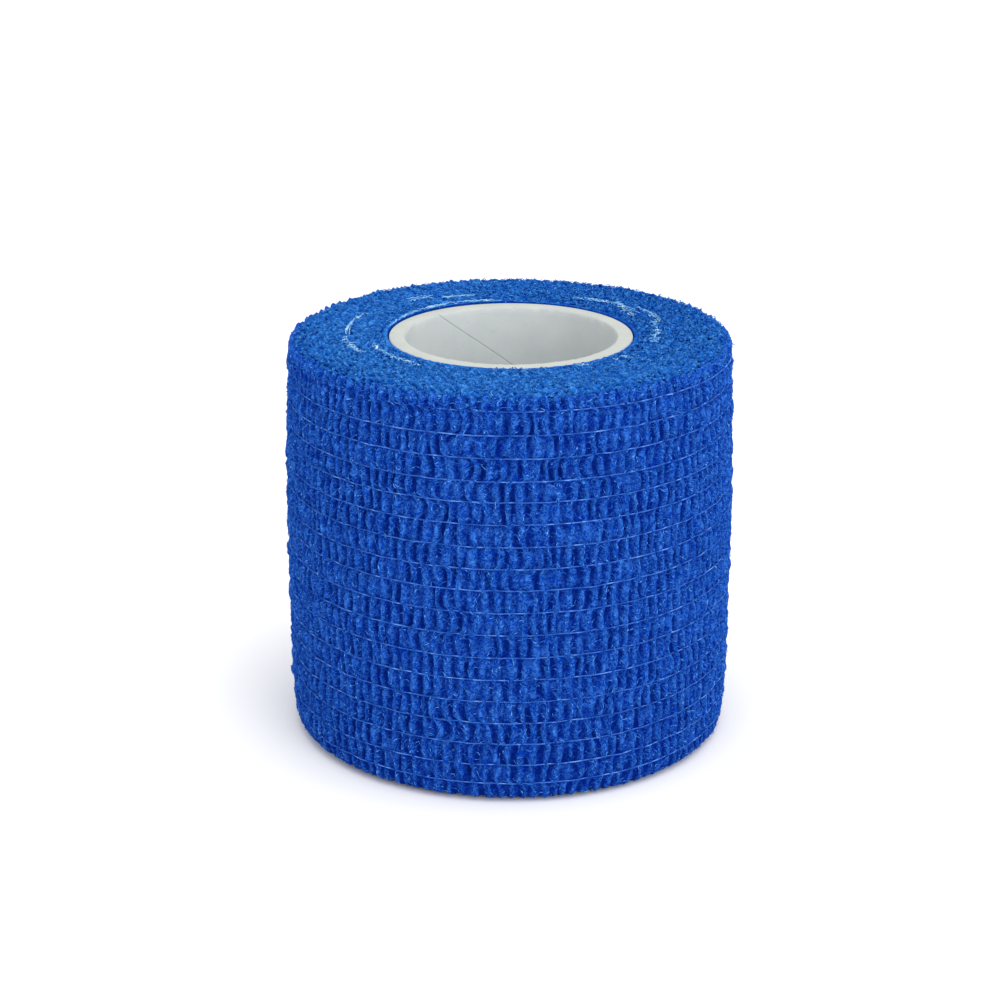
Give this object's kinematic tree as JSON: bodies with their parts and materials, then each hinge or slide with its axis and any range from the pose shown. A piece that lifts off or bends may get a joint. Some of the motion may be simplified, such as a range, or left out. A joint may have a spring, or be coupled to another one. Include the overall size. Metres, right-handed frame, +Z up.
{
  "type": "cohesive bandage roll",
  "caption": "Roll of crinkled stretch bandage with elastic threads, wound on an open white paper tube and standing on one end.",
  "frame": {"origin": "centre of the roll's lower end, on the surface that it stands on", "axes": "+Z up along the tube's axis, +Y away from the viewer of the picture"},
  "size_m": [0.0551, 0.0548, 0.0501],
  "materials": {
    "blue_cloth": "matt crinkled nonwoven cloth with fine elastic threads",
    "white_paper": "smooth matt white paper board"
  },
  "bodies": {
    "root": {"bandage_roll": "blue_cloth", "paper_tube": "white_paper"}
  },
  "joints": []
}
